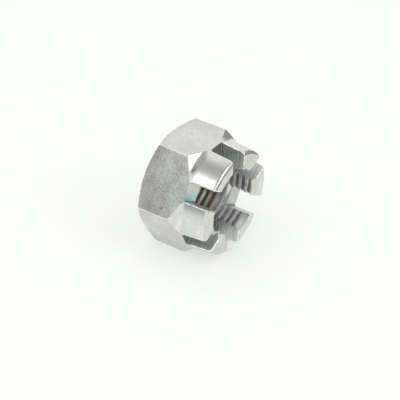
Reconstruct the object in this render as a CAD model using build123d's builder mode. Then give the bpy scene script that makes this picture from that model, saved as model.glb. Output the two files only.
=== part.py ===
"""Castle nut, M16 x 1.5, 24 mm across flats, with six slots for a split pin.

The nut lies on one flat of its hexagon. +X is the thread axis, from the bearing face
towards the slotted crown, and +Z is up. The origin is on the thread axis, at the centre
of the bearing face. Lengths are in millimetres and angles in degrees.
"""

import os
from math import cos, radians, sin, tan

from build123d import *

# Hexagon and bearing face
flat_count = 6
across_flats = 24.0
bearing_face_inset = 0.55  # from the middle of a flat to the rim of the bearing face
bearing_chamfer_angle = 30.0  # between the chamfer and the bearing face

# Crown
nut_height = 16.6  # from the bearing face to the ends of the teeth
corner_height = 8.5  # from the bearing face to where the cone cuts the hexagon's corners
cone_angle = 49.0  # between the cone and the bearing face
crown_inset = 0.45  # from the middle of a flat to the side of the crown, at the ends of the teeth
crown_taper = 5.0  # between the side of the crown and the thread axis
crown_root_radius = 2.8  # hollow between the cone and the crown
crown_rim_radius = 0.8  # rounded rim at the ends of the teeth

# Slots for the split pin, one over the middle of each flat
slot_width = 4.1
slot_depth = 5.7
slot_corner_radius = 0.3

# Threaded bore, with a countersink at each end
thread_diameter = 16.0
thread_pitch = 1.5
countersink_width = 0.6  # from the thread's full radius to the rim of the countersink
countersink_angle = 120.0  # included angle

# Radii around the thread axis
flat_radius = across_flats / 2
corner_radius = flat_radius / cos(radians(180 / flat_count))
bearing_face_radius = flat_radius - bearing_face_inset
crown_end_radius = flat_radius - crown_inset
bore_radius = thread_diameter / 2 - 5 / 8 * thread_pitch * cos(radians(30))  # the thread's crests
countersink_radius = thread_diameter / 2 + countersink_width

# Heights over the bearing face
slot_floor = nut_height - slot_depth
countersink_depth = (countersink_radius - bore_radius) / tan(radians(countersink_angle / 2))

# The cone meets the side of the crown here. Both slopes are a radius lost for each length gained.
cone_slope = 1 / tan(radians(cone_angle))
crown_slope = tan(radians(crown_taper))
crown_length = (cone_slope * (nut_height - corner_height) - (corner_radius - crown_end_radius)) / (
    cone_slope - crown_slope
)
crown_base = nut_height - crown_length
crown_base_radius = crown_end_radius + crown_slope * crown_length

# The turned outline runs outside the hexagon's corners between the bearing chamfer and the
# cone, so both are carried past the corners to this radius.
outline_clearance = 1.0
outline_radius = corner_radius + outline_clearance
bearing_chamfer_end = (outline_radius - bearing_face_radius) * tan(radians(bearing_chamfer_angle))
cone_start = corner_height - outline_clearance * tan(radians(cone_angle))

# Half section of the turned outside, as (height over the bearing face, radius)
turned_outline = [
    (0, 0),
    (0, bearing_face_radius),
    (bearing_chamfer_end, outline_radius),
    (cone_start, outline_radius),
    (crown_base, crown_base_radius),
    (nut_height, crown_end_radius),
    (nut_height, 0),
]

# Half section of the bore and its countersinks
bore_outline = [
    (0, 0),
    (0, countersink_radius),
    (countersink_depth, bore_radius),
    (nut_height - countersink_depth, bore_radius),
    (nut_height, countersink_radius),
    (nut_height, 0),
]

# One plane for each slot, on the slot's floor, with its normal pointing out through a flat
slot_angles = [radians((index + 0.5) * 360 / flat_count) for index in range(flat_count)]
slot_planes = [
    Plane(origin=(slot_floor, 0, 0), x_dir=(1, 0, 0), z_dir=(0, cos(angle), sin(angle)))
    for angle in slot_angles
]

with BuildPart() as castle_nut:
    # Hexagon bar with flats at the top and the bottom
    with BuildSketch(Plane.YZ):
        RegularPolygon(flat_radius, flat_count, major_radius=False)
    extrude(amount=nut_height)

    # Bearing chamfer, cone and crown, turned on the bar
    with BuildSketch(Plane.XZ) as turned_section:
        with BuildLine():
            Polyline(turned_outline, close=True)
        make_face()
        crown_root = turned_section.vertices().sort_by_distance((crown_base, crown_base_radius))[0]
        fillet(crown_root, crown_root_radius)
        crown_rim = turned_section.vertices().sort_by_distance((nut_height, crown_end_radius))[0]
        fillet(crown_rim, crown_rim_radius)
    revolve(axis=Axis.X, mode=Mode.INTERSECT)

    # Bore at the thread's minor diameter, countersunk at both ends
    with BuildSketch(Plane.XZ):
        with BuildLine():
            Polyline(bore_outline, close=True)
        make_face()
    revolve(axis=Axis.X, mode=Mode.SUBTRACT)

    # Slots, open at the end of the crown, with rounded corners along their floors
    with BuildSketch(*slot_planes) as slot_section:
        Rectangle(slot_depth, slot_width, align=(Align.MIN, Align.CENTER))
        floor_corners = slot_section.vertices().group_by(Axis.X)[0]
        fillet(floor_corners, slot_corner_radius)
    extrude(amount=corner_radius, mode=Mode.SUBTRACT)
castle_nut.part.label = "castle_nut"

os.makedirs("parts", exist_ok=True)
export_step(castle_nut.part, "parts/castle_nut.step")
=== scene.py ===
from math import atan2, cos, floor, pi, radians, sin, tan, tau

import bmesh
import bpy
from mathutils import Matrix, Vector


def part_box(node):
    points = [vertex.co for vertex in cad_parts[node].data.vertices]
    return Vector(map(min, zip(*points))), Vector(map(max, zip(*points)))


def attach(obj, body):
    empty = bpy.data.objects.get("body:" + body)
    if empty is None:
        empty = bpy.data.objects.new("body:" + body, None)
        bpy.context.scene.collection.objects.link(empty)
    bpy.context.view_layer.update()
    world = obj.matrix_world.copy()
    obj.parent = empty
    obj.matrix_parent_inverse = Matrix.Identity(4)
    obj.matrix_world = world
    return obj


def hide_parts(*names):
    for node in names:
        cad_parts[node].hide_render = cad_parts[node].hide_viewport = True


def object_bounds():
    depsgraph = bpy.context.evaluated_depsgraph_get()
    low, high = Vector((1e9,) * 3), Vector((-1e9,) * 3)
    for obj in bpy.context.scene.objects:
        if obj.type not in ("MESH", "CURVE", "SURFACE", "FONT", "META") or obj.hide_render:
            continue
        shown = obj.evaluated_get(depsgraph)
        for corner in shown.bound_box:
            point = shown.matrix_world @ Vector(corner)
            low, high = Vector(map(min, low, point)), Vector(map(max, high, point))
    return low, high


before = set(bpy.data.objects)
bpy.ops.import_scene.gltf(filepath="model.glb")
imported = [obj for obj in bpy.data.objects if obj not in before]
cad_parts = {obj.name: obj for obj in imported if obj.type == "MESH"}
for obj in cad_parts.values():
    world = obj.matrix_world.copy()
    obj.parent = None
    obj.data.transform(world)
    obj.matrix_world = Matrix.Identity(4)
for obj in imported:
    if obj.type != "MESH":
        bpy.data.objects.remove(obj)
cad_low, cad_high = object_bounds()

# The nut is modelled in millimetres and brought to the frame's metres at the end.
MM = 0.001
node_low, node_high = (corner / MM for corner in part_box("castle_nut"))

# Hexagon and bearing face
across_flats = node_high.z - node_low.z
flat_radius = across_flats / 2
corner_radius = flat_radius / cos(radians(30))
corner_blunting = [0.05, 0.05, 0.15, 0.05, 0.05, 0.05]
bearing_face_inset = 0.55
bearing_face_radius = flat_radius - bearing_face_inset
bearing_chamfer_angle = radians(30)

# Crown
nut_height = node_high.x - node_low.x
corner_height = 8.5
cone_angle = radians(49)
crown_inset = 0.45
crown_end_radius = flat_radius - crown_inset
crown_taper = radians(5)
crown_root_radius = 2.8
crown_rim_radius = 0.8

# Slots
slot_width = 4.1
slot_depth = 5.7
slot_corner_radius = 0.3
slot_floor = nut_height - slot_depth

# The scuffed flat and the stained slot face this way, turned from -Y towards +Z.
marked_turn = radians(30)

# Thread, which is cut past both ends of the nut
thread_diameter = 16.0
thread_pitch = 1.5
thread_flank = radians(30)
thread_start = -1.5 * thread_pitch
bore_radius = thread_diameter / 2 - 5 / 8 * thread_pitch * cos(thread_flank)
countersink_width = 0.6
countersink_angle = radians(120)
countersink_radius = thread_diameter / 2 + countersink_width
countersink_depth = (countersink_radius - bore_radius) / tan(countersink_angle / 2)

# How finely round shapes are divided
turned_steps = 84
thread_steps_per_turn = 90
sharp_angle = radians(24)

# Widths of the blunted edges around the slots, from the slot 30 degrees above -Y on
slot_edge_widths = [0.33, 0.22, 0.28, 0.28, 0.28, 0.22]


# --- Shader node groups -------------------------------------------------------------


def node_group(name, inputs, outputs):
    """Starts a shader node group with float or vector sockets and returns its tree and ends."""
    tree = bpy.data.node_groups.new(name, "ShaderNodeTree")
    for socket, kind, value in inputs:
        made = tree.interface.new_socket(socket, in_out="INPUT", socket_type=kind)
        if value is not None:
            made.default_value = value
    for socket, kind in outputs:
        tree.interface.new_socket(socket, in_out="OUTPUT", socket_type=kind)
    return tree, tree.nodes.new("NodeGroupInput"), tree.nodes.new("NodeGroupOutput")


def feed(tree, socket, value):
    """Links an input to another node's output, or sets it to a plain value."""
    if isinstance(value, bpy.types.NodeSocket):
        tree.links.new(value, socket)
    else:
        socket.default_value = value


def math_node(tree, operation, first, second=None):
    node = tree.nodes.new("ShaderNodeMath")
    node.operation = operation
    feed(tree, node.inputs[0], first)
    if second is not None:
        feed(tree, node.inputs[1], second)
    return node.outputs[0]


def vector_node(tree, operation, first, second=None):
    """Vector arithmetic. Lengths and distances come out as its Value, the rest as its Vector."""
    node = tree.nodes.new("ShaderNodeVectorMath")
    node.operation = operation
    feed(tree, node.inputs[0], first)
    if second is not None:
        feed(tree, node.inputs[1], second)
    return node.outputs


def range_node(tree, value, low, high, to_low, to_high, smooth=False):
    node = tree.nodes.new("ShaderNodeMapRange")
    node.interpolation_type = "SMOOTHSTEP" if smooth else "LINEAR"
    for index, part in enumerate((value, low, high, to_low, to_high)):
        feed(tree, node.inputs[index], part)
    return node.outputs[0]


def noise_node(tree, vector, scale, detail, roughness):
    node = tree.nodes.new("ShaderNodeTexNoise")
    tree.links.new(vector, node.inputs["Vector"])
    tree.links.new(scale, node.inputs["Scale"])
    node.inputs["Detail"].default_value = detail
    node.inputs["Roughness"].default_value = roughness
    return node


def make_mottle_group():
    """Soft patches and fine grain, around 0.5, from patterns per metre."""
    tree, given, out = node_group(
        "Mottle",
        [("Vector", "NodeSocketVector", None), ("Patch Scale", "NodeSocketFloat", 500.0),
         ("Grain Scale", "NodeSocketFloat", 3000.0), ("Grain Share", "NodeSocketFloat", 0.5)],
        [("Value", "NodeSocketFloat")],
    )
    patches = noise_node(tree, given.outputs["Vector"], given.outputs["Patch Scale"], 4.0, 0.6)
    grain = noise_node(tree, given.outputs["Vector"], given.outputs["Grain Scale"], 2.0, 0.5)
    mix = tree.nodes.new("ShaderNodeMix")
    tree.links.new(given.outputs["Grain Share"], mix.inputs["Factor"])
    tree.links.new(patches.outputs["Fac"], mix.inputs["A"])
    tree.links.new(grain.outputs["Fac"], mix.inputs["B"])
    tree.links.new(mix.outputs["Result"], out.inputs["Value"])
    return tree


def make_pits_group():
    """Small scattered pits: 1 in a pit, 0 on the sound surface."""
    tree, given, out = node_group(
        "Pits",
        [("Vector", "NodeSocketVector", None), ("Scale", "NodeSocketFloat", 900.0),
         ("Size", "NodeSocketFloat", 0.12)],
        [("Mask", "NodeSocketFloat")],
    )
    cells = tree.nodes.new("ShaderNodeTexVoronoi")
    tree.links.new(given.outputs["Vector"], cells.inputs["Vector"])
    tree.links.new(given.outputs["Scale"], cells.inputs["Scale"])
    luck = tree.nodes.new("ShaderNodeSeparateColor")
    tree.links.new(cells.outputs["Color"], luck.inputs["Color"])
    size = math_node(tree, "MULTIPLY", given.outputs["Size"], luck.outputs["Red"])
    depth = math_node(tree, "DIVIDE", cells.outputs["Distance"], size)
    mask = range_node(tree, depth, 0.6, 1.2, 1.0, 0.0, smooth=True)
    tree.links.new(mask, out.inputs["Mask"])
    return tree


def make_tool_lines_group():
    """Fine uneven lines a tool leaves across one coordinate."""
    tree, given, out = node_group(
        "Tool Lines",
        [("Coordinate", "NodeSocketFloat", 0.0), ("Lines per Metre", "NodeSocketFloat", 3000.0)],
        [("Value", "NodeSocketFloat")],
    )
    across = math_node(tree, "MULTIPLY", given.outputs["Coordinate"],
                       given.outputs["Lines per Metre"])
    lines = tree.nodes.new("ShaderNodeTexNoise")
    lines.noise_dimensions = "1D"
    tree.links.new(across, lines.inputs["W"])
    lines.inputs["Scale"].default_value = 1.0
    lines.inputs["Detail"].default_value = 2.0
    tree.links.new(lines.outputs["Fac"], out.inputs["Value"])
    return tree


def make_passivation_group():
    """The faint green, blue and violet tints of a clear passivated zinc coat."""
    tree, given, out = node_group(
        "Passivation",
        [("Vector", "NodeSocketVector", None), ("Scale", "NodeSocketFloat", 120.0)],
        [("Tint", "NodeSocketColor")],
    )
    drift = noise_node(tree, given.outputs["Vector"], given.outputs["Scale"], 2.0, 0.5)
    ramp = tree.nodes.new("ShaderNodeValToRGB")
    ramp.color_ramp.elements[0].position = 0.3
    ramp.color_ramp.elements[0].color = (1.0, 0.985, 0.965, 1)
    ramp.color_ramp.elements[1].position = 0.7
    ramp.color_ramp.elements[1].color = (0.97, 1.0, 0.955, 1)
    tree.links.new(drift.outputs["Fac"], ramp.inputs["Fac"])
    tree.links.new(ramp.outputs["Color"], out.inputs["Tint"])
    return tree


mottle_group = make_mottle_group()
pits_group = make_pits_group()
tool_lines_group = make_tool_lines_group()
passivation_group = make_passivation_group()


# --- Finishes of the steel ----------------------------------------------------------


def place_group(tree, group, **values):
    """Puts a node group in a material. A value is a number or a socket, by input name."""
    node = tree.nodes.new("ShaderNodeGroup")
    node.node_tree = group
    for name, value in values.items():
        feed(tree, node.inputs[name.replace("_", " ")], value)
    return node


def start_steel(name):
    """A metal material. Returns its tree, shader, object coordinates and their parts."""
    material = bpy.data.materials.new(name)
    material.use_nodes = True
    tree = material.node_tree
    shader = tree.nodes["Principled BSDF"]
    shader.inputs["Metallic"].default_value = 1.0
    coordinates = tree.nodes.new("ShaderNodeTexCoord").outputs["Object"]
    parts = tree.nodes.new("ShaderNodeSeparateXYZ")
    tree.links.new(coordinates, parts.inputs["Vector"])
    return material, tree, shader, coordinates, parts.outputs


def radius_node(tree, parts):
    """Distance from the thread axis."""
    y_squared = math_node(tree, "MULTIPLY", parts["Y"], parts["Y"])
    z_squared = math_node(tree, "MULTIPLY", parts["Z"], parts["Z"])
    return math_node(tree, "SQRT", math_node(tree, "ADD", y_squared, z_squared))


def mix_colours(tree, factor, first, second, blend="MIX"):
    node = tree.nodes.new("ShaderNodeMix")
    node.data_type = "RGBA"
    node.blend_type = blend
    for index, value in ((0, factor), (6, first), (7, second)):
        feed(tree, node.inputs[index], value)
    return node.outputs[2]


def add_bump(tree, shader, height, strength, distance):
    bump = tree.nodes.new("ShaderNodeBump")
    bump.inputs["Strength"].default_value = strength
    bump.inputs["Distance"].default_value = distance
    tree.links.new(height, bump.inputs["Height"])
    tree.links.new(bump.outputs["Normal"], shader.inputs["Normal"])


def make_forged_steel():
    """The hexagon's flats: satin, mottled and pitted. One is scuffed, and darker at the back."""
    material, tree, shader, coordinates, parts = start_steel("forged_flats")
    mottle = place_group(tree, mottle_group, Vector=coordinates, Patch_Scale=220.0,
                         Grain_Scale=3200.0, Grain_Share=0.45).outputs["Value"]
    grain = place_group(tree, mottle_group, Vector=coordinates, Patch_Scale=260.0,
                        Grain_Scale=3200.0, Grain_Share=0.5).outputs["Value"]
    pits = place_group(tree, pits_group, Vector=coordinates, Scale=600.0, Size=0.16).outputs["Mask"]
    tint = place_group(tree, passivation_group, Vector=coordinates).outputs["Tint"]
    out_y = math_node(tree, "MULTIPLY", parts["Y"], -cos(marked_turn))
    out_z = math_node(tree, "MULTIPLY", parts["Z"], sin(marked_turn))
    reach = math_node(tree, "ADD", out_y, out_z)
    scuffed = range_node(tree, reach, (flat_radius - 0.1) * MM, (flat_radius - 0.02) * MM, 0.0, 1.0)
    steel = mix_colours(tree, range_node(tree, mottle, 0.35, 0.65, 0.0, 1.0),
                        (0.61, 0.61, 0.61, 1), (0.77, 0.77, 0.77, 1))
    scuffs = mix_colours(tree, range_node(tree, grain, 0.38, 0.62, 0.0, 1.0),
                         (0.46, 0.46, 0.46, 1), (0.85, 0.85, 0.85, 1))
    ahead = range_node(tree, parts["X"], 3.8 * MM, 4.6 * MM, 0.0, 1.0, smooth=True)
    shade = mix_colours(tree, ahead, (0.88, 0.865, 0.85, 1), (1.0, 1.01, 1.02, 1))
    scuffs = mix_colours(tree, 1.0, scuffs, shade, "MULTIPLY")
    steel = mix_colours(tree, scuffed, steel, scuffs)
    steel = mix_colours(tree, pits, steel, (0.25, 0.25, 0.25, 1))
    steel = mix_colours(tree, 1.0, steel, tint, "MULTIPLY")
    tree.links.new(steel, shader.inputs["Base Color"])
    tree.links.new(range_node(tree, mottle, 0.3, 0.7, 0.5, 0.34), shader.inputs["Roughness"])
    height = math_node(tree, "SUBTRACT", mottle, math_node(tree, "MULTIPLY", pits, 0.6))
    add_bump(tree, shader, height, 0.5, 0.00012)
    return material


def make_turned_steel():
    """The crown, the cone and the bearing face: bright, with fine rings round the axis."""
    material, tree, shader, coordinates, parts = start_steel("turned_crown")
    radius = radius_node(tree, parts)
    across = math_node(tree, "SUBTRACT", parts["X"], radius)
    rings = place_group(tree, tool_lines_group, Coordinate=across,
                        Lines_per_Metre=4500.0).outputs["Value"]
    smudge = place_group(tree, mottle_group, Vector=coordinates, Patch_Scale=280.0,
                         Grain_Scale=2200.0, Grain_Share=0.35).outputs["Value"]
    tint = place_group(tree, passivation_group, Vector=coordinates).outputs["Tint"]
    steel = mix_colours(tree, range_node(tree, smudge, 0.35, 0.65, 0.0, 1.0),
                        (0.62, 0.62, 0.62, 1), (0.76, 0.76, 0.76, 1))
    steel = mix_colours(tree, 1.0, steel, tint, "MULTIPLY")
    tree.links.new(steel, shader.inputs["Base Color"])
    tree.links.new(range_node(tree, smudge, 0.3, 0.7, 0.30, 0.16), shader.inputs["Roughness"])
    add_bump(tree, shader, rings, 0.2, 0.00004)
    return material


def make_milled_steel():
    """The slots, with cutter lines across the nut's axis and painted shade in the corners at their
    floors. One pair has a pale, stained floor.
    """
    material, tree, shader, coordinates, parts = start_steel("milled_slots")
    lines = place_group(tree, tool_lines_group, Coordinate=parts["X"],
                        Lines_per_Metre=3600.0).outputs["Value"]
    steel = mix_colours(tree, range_node(tree, lines, 0.3, 0.7, 0.0, 1.0),
                        (0.53, 0.545, 0.535, 1), (0.90, 0.92, 0.91, 1))
    corner_top = slot_floor + slot_corner_radius
    # Painted shade: the corner at the foot of the slot walls is darkened.
    corner_shade = range_node(tree, parts["X"], corner_top * MM, (corner_top + 0.1) * MM, 1.0, 0.0)
    steel = mix_colours(tree, corner_shade, steel, (0.26, 0.27, 0.26, 1))
    on_floor = range_node(tree, parts["X"], (slot_floor + 0.01) * MM, (slot_floor + 0.03) * MM,
                          1.0, 0.0)
    aside_y = math_node(tree, "MULTIPLY", parts["Y"], sin(marked_turn))
    aside_z = math_node(tree, "MULTIPLY", parts["Z"], cos(marked_turn))
    aside = math_node(tree, "ADD", aside_y, aside_z)
    in_pair = range_node(tree, math_node(tree, "ABSOLUTE", aside), 2.2 * MM, 2.5 * MM, 1.0, 0.0)
    in_front = range_node(tree, parts["Y"], -4.0 * MM, -2.0 * MM, 1.0, 0.0)
    low = range_node(tree, aside, -1.0 * MM, 0.6 * MM, 1.0, 0.0, smooth=True)
    pale = mix_colours(tree, in_front, (0.60, 0.63, 0.59, 1), (0.73, 0.76, 0.72, 1))
    in_stain = math_node(tree, "MULTIPLY", low, in_front)
    stained = mix_colours(tree, in_stain, pale, (0.49, 0.72, 0.69, 1))
    on_pair_floor = math_node(tree, "MULTIPLY", on_floor, in_pair)
    tree.links.new(mix_colours(tree, on_pair_floor, steel, stained), shader.inputs["Base Color"])
    shader.inputs["Roughness"].default_value = 0.44
    add_bump(tree, shader, lines, 0.5, 0.00012)
    return material


def make_threaded_steel():
    """The tapped thread: dark flanks; crests and roots painted brighter as highlight lines; deep in
    the bore a darker brown, which is a painted reflection and painted shade.
    """
    material, tree, shader, coordinates, parts = start_steel("tapped_thread")
    smudge = place_group(tree, mottle_group, Vector=coordinates, Patch_Scale=400.0,
                         Grain_Scale=2500.0, Grain_Share=0.4).outputs["Value"]
    radius = radius_node(tree, parts)
    crest = range_node(tree, radius, (bore_radius + 0.01) * MM, (bore_radius + 0.04) * MM,
                       1.0, 0.0)
    major_radius = thread_diameter / 2
    root = range_node(tree, radius, (major_radius - 0.08) * MM, (major_radius - 0.03) * MM,
                      0.0, 1.0)
    # Painted highlight: crests and roots get a brighter colour so that they show as light lines.
    highlight_lines = math_node(tree, "MAXIMUM", crest, root)
    steel = mix_colours(tree, range_node(tree, smudge, 0.35, 0.65, 0.0, 1.0),
                        (0.64, 0.65, 0.65, 1), (0.80, 0.81, 0.81, 1))
    steel = mix_colours(tree, highlight_lines, steel, (0.90, 0.90, 0.90, 1))
    # Painted reflection and painted shade: deep in the bore the thread turns a darker brown.
    deep_painted_reflection = mix_colours(tree, highlight_lines, (0.25, 0.23, 0.215, 1), (0.37, 0.35, 0.33, 1))
    deep = range_node(tree, parts["X"], 7.0 * MM, 10.0 * MM, 1.0, 0.0, smooth=True)
    tree.links.new(mix_colours(tree, deep, steel, deep_painted_reflection), shader.inputs["Base Color"])
    highlight_line_roughness = range_node(tree, deep, 0.0, 1.0, 0.55, 0.32)
    roughness = range_node(tree, highlight_lines, 0.0, 1.0, 0.24, highlight_line_roughness)
    tree.links.new(roughness, shader.inputs["Roughness"])
    add_bump(tree, shader, smudge, 0.2, 0.00008)
    return material


def make_edge_steel():
    """The thin blunted edges, painted brighter than the faces beside them as a highlight, with
    darker nicks.
    """
    material, tree, shader, coordinates, parts = start_steel("highlighted_edges")
    nicks = place_group(tree, mottle_group, Vector=coordinates, Patch_Scale=900.0,
                        Grain_Scale=2600.0, Grain_Share=0.5).outputs["Value"]
    # Painted highlight: a near-white edge colour, broken by darker nicks.
    steel = mix_colours(tree, range_node(tree, nicks, 0.40, 0.52, 0.0, 1.0),
                        (0.55, 0.55, 0.55, 1), (1.0, 1.0, 0.99, 1))
    tree.links.new(steel, shader.inputs["Base Color"])
    shader.inputs["Roughness"].default_value = 0.45
    return material


# --- The nut ------------------------------------------------------------------------


def new_object(name, bm, materials):
    mesh = bpy.data.meshes.new(name)
    bm.to_mesh(mesh)
    bm.free()
    for material in materials:
        mesh.materials.append(material)
    made = bpy.data.objects.new(name, mesh)
    bpy.context.scene.collection.objects.link(made)
    return made


def draw_line(bm, places, closed=True):
    """Draws straight edges from place to place, and returns their vertices."""
    corners = [bm.verts.new(place) for place in places]
    ends = corners[1:] + corners[:1] if closed else corners[1:]
    for first, second in zip(corners, ends):
        bm.edges.new((first, second))
    return corners


def face_outwards(bm):
    bmesh.ops.recalc_face_normals(bm, faces=bm.faces)
    if bm.calc_volume(signed=True) < 0:
        bmesh.ops.reverse_faces(bm, faces=bm.faces)


def round_corner(bm, corner, radius, turn):
    """Rounds one corner of a wire outline, where turn is the angle the line turns by."""
    bmesh.ops.bevel(bm, geom=[corner], offset=radius * tan(turn / 2), offset_type="OFFSET",
                    segments=8, profile=0.5, affect="VERTICES", material=-1)


# Places of the finishes in the nut's list of materials
TURNED, EDGE_HIGHLIGHT, FORGED, THREADED = range(4)


def make_turned_blank(materials):
    """The nut's outside as turned, with its countersunk bore, and as yet no flats."""
    outline_clearance = 1.0
    outline_radius = corner_radius + outline_clearance
    chamfer_end = (outline_radius - bearing_face_radius) * tan(bearing_chamfer_angle)
    cone_start = corner_height - (outline_radius - corner_radius) * tan(cone_angle)
    cone_slope, crown_slope = 1 / tan(cone_angle), tan(crown_taper)
    crown_length = ((corner_radius - crown_end_radius - cone_slope * (nut_height - corner_height))
                    / (crown_slope - cone_slope))
    outline = [
        (0, bearing_face_radius),
        (chamfer_end, outline_radius),
        (cone_start, outline_radius),
        (nut_height - crown_length, crown_end_radius + crown_slope * crown_length),
        (nut_height, crown_end_radius),
        (nut_height, countersink_radius),
        (nut_height - countersink_depth, bore_radius),
        (countersink_depth, bore_radius),
        (0, countersink_radius),
    ]
    bm = bmesh.new()
    corners = draw_line(bm, [(height, 0, radius) for height, radius in outline])
    crown_root, crown_rim = corners[3], corners[4]
    round_corner(bm, crown_root, crown_root_radius, radians(90) - cone_angle - crown_taper)
    round_corner(bm, crown_rim, crown_rim_radius, radians(90) - crown_taper)
    bmesh.ops.spin(bm, geom=bm.verts[:] + bm.edges[:], cent=(0, 0, 0), axis=(1, 0, 0),
                   angle=tau, steps=turned_steps, use_merge=True, use_duplicate=False)
    bmesh.ops.remove_doubles(bm, verts=bm.verts, dist=1e-5)
    face_outwards(bm)
    for face in bm.faces:
        if max(vert.co.yz.length for vert in face.verts) < bore_radius + 0.01:
            face.material_index = THREADED
    return new_object("castle_nut_piece", bm, materials)


def cut_flat(bm, turn, distance, material_index):
    """Cuts everything off beyond a plane at a distance from the axis, and closes the cut."""
    facing = Vector((0, -cos(turn), sin(turn)))
    sliced = bmesh.ops.bisect_plane(bm, geom=bm.verts[:] + bm.edges[:] + bm.faces[:], dist=1e-5,
                                    plane_co=facing * distance, plane_no=facing, clear_outer=True)
    rim = [item for item in sliced["geom_cut"] if isinstance(item, bmesh.types.BMEdge)]
    for face in bmesh.ops.holes_fill(bm, edges=rim, sides=0)["faces"]:
        face.material_index = material_index


def cut_hexagon(piece):
    """Cuts the six flats, and blunts the six long edges between them a little."""
    bm = bmesh.new()
    bm.from_mesh(piece.data)
    for index in range(6):
        cut_flat(bm, radians(30 + 60 * index), flat_radius, FORGED)
    # The blunted corners take the edge material, which is painted bright as a highlight.
    for index, blunting in enumerate(corner_blunting):
        cut_flat(bm, radians(60 * index), corner_radius - blunting, EDGE_HIGHLIGHT)
    face_outwards(bm)
    bm.to_mesh(piece.data)
    bm.free()


def make_slot_cutter(turn, material):
    """A bar as wide as a slot, which cuts two opposite slots in one pass."""
    overlap = 2
    reach = slot_depth + overlap
    bm = bmesh.new()
    bmesh.ops.create_cube(bm, size=1)
    bmesh.ops.scale(bm, verts=bm.verts, vec=(reach, slot_width, 3 * corner_radius))
    bmesh.ops.translate(bm, verts=bm.verts, vec=(slot_floor + reach / 2, 0, 0))
    floor_corners = [
        edge for edge in bm.edges
        if edge.calc_length() > 2 * corner_radius and edge.verts[0].co.x < nut_height
    ]
    bmesh.ops.bevel(bm, geom=floor_corners, offset=slot_corner_radius, offset_type="OFFSET",
                    segments=4, profile=0.5, affect="EDGES", material=-1)
    bmesh.ops.rotate(bm, verts=bm.verts, matrix=Matrix.Rotation(turn, 3, "X"))
    return new_object("slot_cutter", bm, [material])


def make_tap(material):
    """The right-handed helical ridge that cuts the thread's groove."""
    major_radius = thread_diameter / 2
    overlap = 0.3
    inner_radius = bore_radius - overlap
    root_half = thread_pitch / 16
    mouth_half = root_half + (major_radius - inner_radius) * tan(thread_flank)
    turns = round((nut_height - 2 * thread_start) / thread_pitch)
    steps = thread_steps_per_turn * turns
    bm = bmesh.new()
    ridge = [(-root_half, major_radius), (root_half, major_radius),
             (mouth_half, inner_radius), (-mouth_half, inner_radius)]
    draw_line(bm, [(thread_start + height, 0, radius) for height, radius in ridge])
    bmesh.ops.spin(bm, geom=bm.verts[:] + bm.edges[:], cent=(0, 0, 0), axis=(1, 0, 0),
                   dvec=(thread_pitch / thread_steps_per_turn, 0, 0), angle=tau * turns,
                   steps=steps, use_merge=False, use_duplicate=False)
    bmesh.ops.remove_doubles(bm, verts=bm.verts, dist=1e-5)
    bmesh.ops.holes_fill(bm, edges=[edge for edge in bm.edges if edge.is_boundary], sides=0)
    face_outwards(bm)
    return new_object("tap", bm, [material])


def cut(piece, tool):
    modifier = piece.modifiers.new(tool.name, "BOOLEAN")
    modifier.operation = "DIFFERENCE"
    modifier.object = tool
    modifier.solver = "EXACT"
    modifier.material_mode = "TRANSFER"


def apply_cuts(piece, tools):
    """Bakes the cuts into the piece's mesh and removes the tools."""
    depsgraph = bpy.context.evaluated_depsgraph_get()
    mesh = bpy.data.meshes.new_from_object(piece.evaluated_get(depsgraph), depsgraph=depsgraph)
    piece.modifiers.clear()
    rough_meshes = [piece.data] + [tool.data for tool in tools]
    piece.data = mesh
    for tool in tools:
        bpy.data.objects.remove(tool)
    for rough_mesh in rough_meshes:
        bpy.data.meshes.remove(rough_mesh)


def blunt_slot_edges(piece):
    """Rounds the slots' edges off along the crown and the ends of the teeth."""
    bm = bmesh.new()
    bm.from_mesh(piece.data)
    bmesh.ops.remove_doubles(bm, verts=bm.verts, dist=1e-4)
    bmesh.ops.dissolve_limit(bm, verts=bm.verts, edges=bm.edges, angle_limit=radians(0.3),
                             delimit={"MATERIAL"})
    wall_start = slot_floor + slot_corner_radius
    slot_edges = [[] for _ in slot_edge_widths]
    for edge in bm.edges:
        finishes = {face.material_index for face in edge.link_faces}
        reach = min(vert.co.yz.length for vert in edge.verts)
        height = min(vert.co.x for vert in edge.verts)
        if len(finishes) == 2 and reach > countersink_radius - 0.01 and height > wall_start - 0.01:
            middle = (edge.verts[0].co + edge.verts[1].co) / 2
            slot_edges[floor(atan2(middle.z, -middle.y) / tau * 6) % 6].append(edge)
    for edges, width in zip(slot_edges, slot_edge_widths):
        blunted = bmesh.ops.bevel(bm, geom=edges, offset=width, offset_type="OFFSET",
                                  segments=3, profile=0.5, affect="EDGES", material=-1)
        # The blunted faces take the edge material, which is painted bright as a highlight.
        for face in blunted["faces"]:
            face.material_index = EDGE_HIGHLIGHT
    bm.to_mesh(piece.data)
    bm.free()


def make_nut():
    threaded, milled = make_threaded_steel(), make_milled_steel()
    nut = make_turned_blank([make_turned_steel(), make_edge_steel(), make_forged_steel(), threaded])
    tools = [make_tap(threaded)]
    tools += [make_slot_cutter(radians(60 * index), milled) for index in range(3)]
    for tool in tools:
        cut(nut, tool)
    apply_cuts(nut, tools)
    blunt_slot_edges(nut)
    cut_hexagon(nut)
    nut.data.transform(Matrix.Scale(MM, 4))
    nut.data.shade_smooth()
    nut.data.set_sharp_from_angle(angle=sharp_angle)
    even = nut.modifiers.new("even_normals", "WEIGHTED_NORMAL")
    even.weight = 50
    even.keep_sharp = True
    return nut


nut = make_nut()
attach(nut, "root")
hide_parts("castle_nut")


# --- Floor, light and camera --------------------------------------------------------

nut_middle = Vector((nut_height / 2 * MM, 0, 0))


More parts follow.
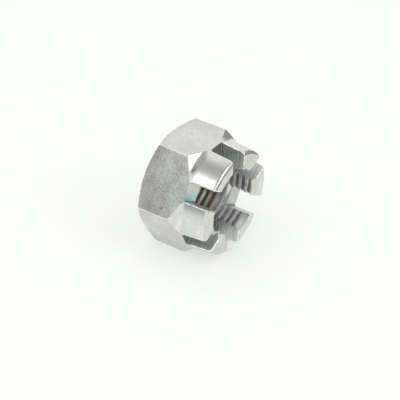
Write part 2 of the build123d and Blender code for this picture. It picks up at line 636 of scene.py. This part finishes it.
def seen_directly(tree):
    """1 for what the camera sees, also in a reflection or through something clear."""
    rays = tree.nodes.new("ShaderNodeLightPath").outputs
    seen = math_node(tree, "MAXIMUM", rays["Is Camera Ray"], rays["Is Glossy Ray"])
    return math_node(tree, "MAXIMUM", seen, rays["Is Transmission Ray"])


def mix_shaders(tree, share, first, second):
    """Gives the material a mix of two shaders, with a share of the second."""
    mix = tree.nodes.new("ShaderNodeMixShader")
    tree.links.new(share, mix.inputs[0])
    tree.links.new(first.outputs[0], mix.inputs[1])
    tree.links.new(second.outputs[0], mix.inputs[2])
    tree.links.new(mix.outputs[0], tree.nodes["Material Output"].inputs["Surface"])


def make_floor():
    """A pale sheet that takes the nut's shadow.

    Half of what the camera sees of it is its own glow, which keeps the shadow pale.
    """
    bm = bmesh.new()
    bmesh.ops.create_grid(bm, x_segments=1, y_segments=1, size=1.5)
    bmesh.ops.translate(bm, verts=bm.verts, vec=(0, 0, cad_low.z))
    material = bpy.data.materials.new("floor_sheet")
    material.use_nodes = True
    tree = material.node_tree
    shader = tree.nodes["Principled BSDF"]
    shader.inputs["Base Color"].default_value = (0.955, 0.965, 0.94, 1)
    shader.inputs["Roughness"].default_value = 0.7
    shader.inputs["Specular IOR Level"].default_value = 0.2
    glow = tree.nodes.new("ShaderNodeEmission")
    glow.inputs["Color"].default_value = (0.98, 1.0, 0.975, 1)
    mix_shaders(tree, math_node(tree, "MULTIPLY", seen_directly(tree), 0.5), shader, glow)
    new_object("floor", bm, [material])


def make_card(name, bm, colour, fade):
    """A card seen only in the nut's reflections. fade(tree) is how clear it is, from 0 to 1."""
    material = bpy.data.materials.new(name)
    material.use_nodes = True
    tree = material.node_tree
    tree.nodes.remove(tree.nodes["Principled BSDF"])
    glow = tree.nodes.new("ShaderNodeEmission")
    glow.inputs["Color"].default_value = (*colour, 1)
    clear = tree.nodes.new("ShaderNodeBsdfTransparent")
    mix_shaders(tree, fade(tree), glow, clear)
    card = new_object(name, bm, [material])
    card.visible_camera = False
    card.visible_diffuse = False
    card.visible_shadow = False
    card.visible_transmission = False


def add_oval_card(name, middle, x_radius, y_radius, colour):
    """A level oval card around a point, which fades out towards its rim."""
    bm = bmesh.new()
    bmesh.ops.create_circle(bm, cap_ends=True, segments=48, radius=1)
    bmesh.ops.scale(bm, verts=bm.verts, vec=(x_radius, y_radius, 1))
    bmesh.ops.translate(bm, verts=bm.verts, vec=middle)

    def fade(tree):
        coordinates = tree.nodes.new("ShaderNodeTexCoord").outputs["Object"]
        away = vector_node(tree, "SUBTRACT", coordinates, middle)["Vector"]
        share = vector_node(tree, "DIVIDE", away, (x_radius, y_radius, 1))["Vector"]
        reach = vector_node(tree, "LENGTH", share)["Value"]
        return range_node(tree, reach, 0.55, 1.0, 0.0, 1.0, smooth=True)

    make_card(name, bm, colour, fade)


def add_curved_card(name, start, end, near, full, far, top, colour):
    """A card around the nut between two directions, in radians from +X towards +Y.

    It lies on the floor from near to far, where it stands up to its top. It fades in from near to
    full, and out towards its top. All four are in metres.
    """
    floor_level = cad_low.z + 0.0002
    bm = bmesh.new()
    draw_line(bm, [(near, 0, floor_level), (far, 0, floor_level), (far, 0, top)], closed=False)
    bmesh.ops.rotate(bm, verts=bm.verts, matrix=Matrix.Rotation(start, 3, "Z"))
    bmesh.ops.spin(bm, geom=bm.verts[:] + bm.edges[:], cent=(0, 0, 0), axis=(0, 0, 1),
                   angle=end - start, steps=24, use_merge=False, use_duplicate=False)
    bmesh.ops.translate(bm, verts=bm.verts, vec=nut_middle)

    def fade(tree):
        coordinates = tree.nodes.new("ShaderNodeTexCoord").outputs["Object"]
        parts = tree.nodes.new("ShaderNodeSeparateXYZ")
        tree.links.new(coordinates, parts.inputs[0])
        away = vector_node(tree, "DISTANCE", coordinates, nut_middle)["Value"]
        at_top = range_node(tree, parts.outputs["Z"], 0.6 * top, top, 0.0, 1.0, smooth=True)
        near_by = range_node(tree, away, near, full, 1.0, 0.0)
        return math_node(tree, "MAXIMUM", at_top, near_by)

    make_card(name, bm, colour, fade)


def add_softbox(name, direction, distance, size, brightness):
    """A square area light that faces the nut. brightness is the light it shows in a mirror."""
    lamp = bpy.data.lights.new(name, "AREA")
    lamp.shape = "SQUARE"
    lamp.size = size
    lamp.energy = brightness * pi * size * size
    holder = bpy.data.objects.new(name, lamp)
    facing = Vector(direction).normalized()
    holder.location = nut_middle + facing * distance
    holder.rotation_mode = "QUATERNION"
    holder.rotation_quaternion = facing.to_track_quat("Z", "Y")
    holder.visible_camera = False
    bpy.context.scene.collection.objects.link(holder)


def make_world():
    world = bpy.data.worlds.new("studio")
    bpy.context.scene.world = world
    world.use_nodes = True
    tree = world.node_tree
    background = tree.nodes["Background"]
    background.inputs["Color"].default_value = (1, 1, 1, 1)
    strength = range_node(tree, seen_directly(tree), 0.0, 1.0, 0.92, 1.0)
    tree.links.new(strength, background.inputs["Strength"])


def make_camera():
    azimuth, elevation, roll = radians(31.9), radians(33.7), radians(3.47)
    distance = 310 * MM
    aim = Vector((6.9, 1.3, -3.8)) * MM
    back = Vector((sin(azimuth) * cos(elevation), -cos(azimuth) * cos(elevation), sin(elevation)))
    lens = bpy.data.cameras.new("camera")
    lens.lens = 130.35
    lens.sensor_width = 36
    lens.clip_start = 0.01
    camera = bpy.data.objects.new("camera", lens)
    camera.matrix_world = (
        Matrix.Translation(aim + back * distance)
        @ (-back).to_track_quat("-Z", "Y").to_matrix().to_4x4()
        @ Matrix.Rotation(roll, 4, "Z")
    )
    bpy.context.scene.collection.objects.link(camera)
    bpy.context.scene.camera = camera


make_floor()
add_curved_card("far_card", radians(-4), radians(46),
                0.042, 0.048, 0.20, 0.012, (0.10, 0.09, 0.13))
add_curved_card("side_card", radians(48), radians(103),
                0.058, 0.075, 0.20, 0.085, (0.36, 0.36, 0.36))
add_curved_card("near_card", radians(-155), radians(-92),
                0.040, 0.16, 0.15, 0.10, (0.36, 0.36, 0.36))
add_oval_card("top_card", nut_middle + Vector((0.07, -0.042, 0.30)),
              0.30, 0.14, (0.50, 0.50, 0.50))
add_oval_card("corner_card", nut_middle + Vector((0.13, 0.06, 0.31)),
              0.11, 0.11, (0.42, 0.42, 0.42))
add_oval_card("hollow_card", nut_middle + Vector((0.135, -0.122, 0.262)),
              0.10, 0.05, (0.12, 0.125, 0.14))
floor_front = Vector((0.0135, -0.0220, cad_low.z + 0.0004))
add_oval_card("floor_glow", floor_front, 0.0036, 0.014, (1.2, 1.19, 1.12))
add_softbox("right_softbox", (0.80, 0.04, 0.60), 0.5, 0.26, 1.6)
add_softbox("left_softbox", (-0.28, -0.62, 0.73), 0.5, 0.165, 2.2)
make_world()
make_camera()
bpy.context.scene.view_settings.view_transform = "Standard"
